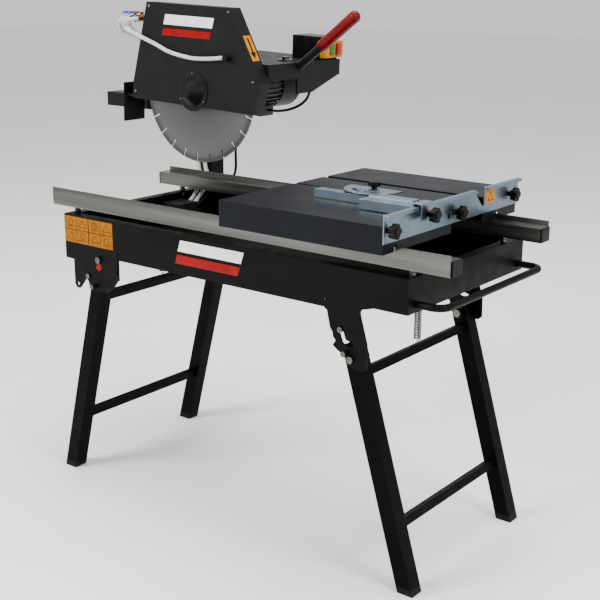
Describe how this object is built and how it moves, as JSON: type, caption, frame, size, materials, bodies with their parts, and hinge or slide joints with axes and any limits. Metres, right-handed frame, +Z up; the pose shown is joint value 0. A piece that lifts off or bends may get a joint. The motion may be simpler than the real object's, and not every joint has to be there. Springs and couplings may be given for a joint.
{
  "type": "wet tile saw",
  "caption": "Wet tile saw on folding legs: water tray, rolling cart with fence and angle guide on two rails, and a plunging motor head with guarded diamond blade",
  "frame": {"origin": "on the floor under the middle of the saw's overall box, legs unfolded", "axes": "+X toward the operator's push handle, along the rails; +Y toward the motor; +Z up"},
  "size_m": [1.288, 0.7003, 1.1293],
  "materials": {
    "tray_paint": "textured charcoal powder coat",
    "rail_steel": "brushed stainless",
    "black_plastic": "moulded black plastic",
    "zinc_bolt": "zinc plated",
    "pump_plastic": "moulded",
    "clear_hose": "clear flexible PVC",
    "cable_rubber": "rubber sheath",
    "spring_steel": "drawn wire",
    "leg_paint": "black powder coat",
    "table_paint": "dark blue-grey powder coat",
    "zinc_sheet": "zinc-plated sheet",
    "roller_steel": "turned steel",
    "guard_paint": "charcoal powder coat",
    "motor_aluminium": "die cast, painted grey",
    "red_grip": "soft red grip",
    "switch_plastic": "moulded",
    "green_plastic": "moulded",
    "red_plastic": "moulded",
    "blue_plastic": "moulded",
    "flap_rubber": "rubber sheet",
    "valve_brass": "machined",
    "blade_steel": "ground",
    "shaft_steel": "turned"
  },
  "bodies": {
    "frame": {"water_tray": "tray_paint", "front_left_bracket": "tray_paint", "rear_left_bracket": "tray_paint", "front_right_bracket": "tray_paint", "rear_right_bracket": "tray_paint", "push_handle": "tray_paint", "front_rail": "rail_steel", "rear_rail": "rail_steel", "rail_end_caps": "black_plastic", "rail_bolts": "zinc_bolt", "column": "tray_paint", "support_beam": "tray_paint", "pivot_bolts": "zinc_bolt", "water_pump": "pump_plastic", "inner_supply_hose": "clear_hose", "outer_supply_hose": "clear_hose", "pump_cable": "cable_rubber", "left_spring": "spring_steel", "right_spring": "spring_steel"},
    "left_legs": {"left_leg_frame": "leg_paint"},
    "right_legs": {"right_leg_frame": "leg_paint"},
    "left_pin": {"left_lock_pin": "zinc_bolt"},
    "right_pin": {"right_lock_pin": "zinc_bolt"},
    "cart": {"front_table": "table_paint", "middle_table": "table_paint", "rear_table": "table_paint", "cart_chassis": "leg_paint", "near_fence": "zinc_sheet", "far_fence": "zinc_sheet"},
    "front_left_wheel": {"front_left_roller": "roller_steel"},
    "front_right_wheel": {"front_right_roller": "roller_steel"},
    "rear_left_wheel": {"rear_left_roller": "roller_steel"},
    "rear_right_wheel": {"rear_right_roller": "roller_steel"},
    "near_knob_body": {"near_knob": "black_plastic"},
    "joint_knob_body": {"joint_knob": "black_plastic"},
    "far_knob_body": {"far_knob": "black_plastic"},
    "guide": {"guide_channel": "zinc_sheet"},
    "guide_knob_body": {"guide_knob": "black_plastic"},
    "stop_arm": {"guide_arm": "zinc_sheet"},
    "arc_knob": {"guide_lock_knob": "black_plastic"},
    "head": {"head_frame": "guard_paint", "guard_shell": "guard_paint", "guard_cover": "guard_paint", "hub_cover": "guard_paint", "head_bolts": "zinc_bolt", "motor": "motor_aluminium", "fan_cover": "black_plastic", "grip": "red_grip", "switch_box": "switch_plastic", "splash_flap": "flap_rubber", "valves": "valve_brass", "spray_hose": "clear_hose", "motor_cable": "cable_rubber"},
    "start_button": {"green_button": "green_plastic"},
    "stop_button": {"red_button": "red_plastic"},
    "red_valve_lever": {"red_lever": "red_plastic"},
    "blue_valve_lever": {"blue_lever": "blue_plastic"},
    "blade_spindle": {"blade": "blade_steel", "spindle": "shaft_steel", "blade_nut": "shaft_steel"}
  },
  "joints": [
    {"name": "left_legs_fold", "type": "hinge", "parent": "frame", "child": "left_legs", "pos_m": [-0.282, -0.088, 0.558], "axis": [0, -1, 0], "range_deg": [0, 104], "deforming": ["left_spring"]},
    {"name": "right_legs_fold", "type": "hinge", "parent": "frame", "child": "right_legs", "pos_m": [0.4325, -0.088, 0.47], "axis": [0, 1, 0], "range_deg": [0, 106], "deforming": ["right_spring"]},
    {"name": "left_pin_pull", "type": "slide", "parent": "frame", "child": "left_pin", "axis": [0, -1, 0], "range_m": [0, 0.01], "stiffness_N_per_m": 800},
    {"name": "right_pin_pull", "type": "slide", "parent": "frame", "child": "right_pin", "axis": [0, -1, 0], "range_m": [0, 0.01], "stiffness_N_per_m": 800},
    {"name": "cart_roll", "type": "slide", "parent": "frame", "child": "cart", "axis": [1, 0, 0], "range_m": [-0.59, 0.13]},
    {"name": "front_left_roller_turn", "type": "hinge", "parent": "cart", "child": "front_left_wheel", "pos_m": [0.16, -0.286, 0.7141], "axis": [0, 1, 0], "continuous": true},
    {"name": "front_right_roller_turn", "type": "hinge", "parent": "cart", "child": "front_right_wheel", "pos_m": [0.478, -0.286, 0.7141], "axis": [0, 1, 0], "continuous": true},
    {"name": "rear_left_roller_turn", "type": "hinge", "parent": "cart", "child": "rear_left_wheel", "pos_m": [0.16, 0.073, 0.7141], "axis": [0, 1, 0], "continuous": true},
    {"name": "rear_right_roller_turn", "type": "hinge", "parent": "cart", "child": "rear_right_wheel", "pos_m": [0.478, 0.073, 0.7141], "axis": [0, 1, 0], "continuous": true},
    {"name": "near_knob_turn", "type": "hinge", "parent": "cart", "child": "near_knob_body", "pos_m": [0.5233, -0.336, 0.745], "axis": [1, 0, 0], "range_deg": [0, 720]},
    {"name": "joint_knob_turn", "type": "hinge", "parent": "cart", "child": "joint_knob_body", "pos_m": [0.5233, -0.092, 0.741], "axis": [1, 0, 0], "range_deg": [0, 720]},
    {"name": "far_knob_turn", "type": "hinge", "parent": "cart", "child": "far_knob_body", "pos_m": [0.5233, 0.133, 0.746], "axis": [1, 0, 0], "range_deg": [0, 720]},
    {"name": "guide_along_fence", "type": "slide", "parent": "cart", "child": "guide", "axis": [0, 1, 0], "range_m": [-0.07, 0.08]},
    {"name": "guide_knob_turn", "type": "hinge", "parent": "guide", "child": "guide_knob_body", "pos_m": [0.5368, -0.216, 0.758], "axis": [1, 0, 0], "range_deg": [0, 720]},
    {"name": "stop_arm_swing", "type": "hinge", "parent": "guide", "child": "stop_arm", "pos_m": [0.365, -0.15, 0.775], "axis": [0, 0, 1], "range_deg": [-45, 45]},
    {"name": "arc_knob_turn", "type": "hinge", "parent": "stop_arm", "child": "arc_knob", "pos_m": [0.365, -0.15, 0.785], "axis": [0, 0, 1], "range_deg": [0, 720]},
    {"name": "head_plunge", "type": "hinge", "parent": "frame", "child": "head", "pos_m": [-0.478, 0.087, 0.925], "axis": [0, -1, 0], "range_deg": [-2.5, 25], "deforming": ["inner_supply_hose", "outer_supply_hose", "pump_cable"]},
    {"name": "start_button_press", "type": "slide", "parent": "head", "child": "start_button", "axis": [-0.9994, 0, 0.0349], "range_m": [0, 0.003], "stiffness_N_per_m": 700},
    {"name": "stop_button_press", "type": "slide", "parent": "head", "child": "stop_button", "axis": [-0.9994, 0, 0.0349], "range_m": [0, 0.003], "stiffness_N_per_m": 700},
    {"name": "red_lever_turn", "type": "hinge", "parent": "head", "child": "red_valve_lever", "pos_m": [-0.467, 0.026, 1.1018], "axis": [0, 0, -1], "range_deg": [0, 90]},
    {"name": "blue_lever_turn", "type": "hinge", "parent": "head", "child": "blue_valve_lever", "pos_m": [-0.467, 0.003, 1.1018], "axis": [0, 0, 1], "range_deg": [0, 90]},
    {"name": "blade_turn", "type": "hinge", "parent": "head", "child": "blade_spindle", "pos_m": [-0.266, 0.017, 0.922], "axis": [0, 1, 0], "continuous": true}
  ],
  "couplings": [
    {"joint": "front_left_roller_turn", "follows": "cart_roll", "rad_per_m": 62.5},
    {"joint": "front_right_roller_turn", "follows": "cart_roll", "rad_per_m": 62.5},
    {"joint": "rear_left_roller_turn", "follows": "cart_roll", "rad_per_m": 62.5},
    {"joint": "rear_right_roller_turn", "follows": "cart_roll", "rad_per_m": 62.5}
  ]
}
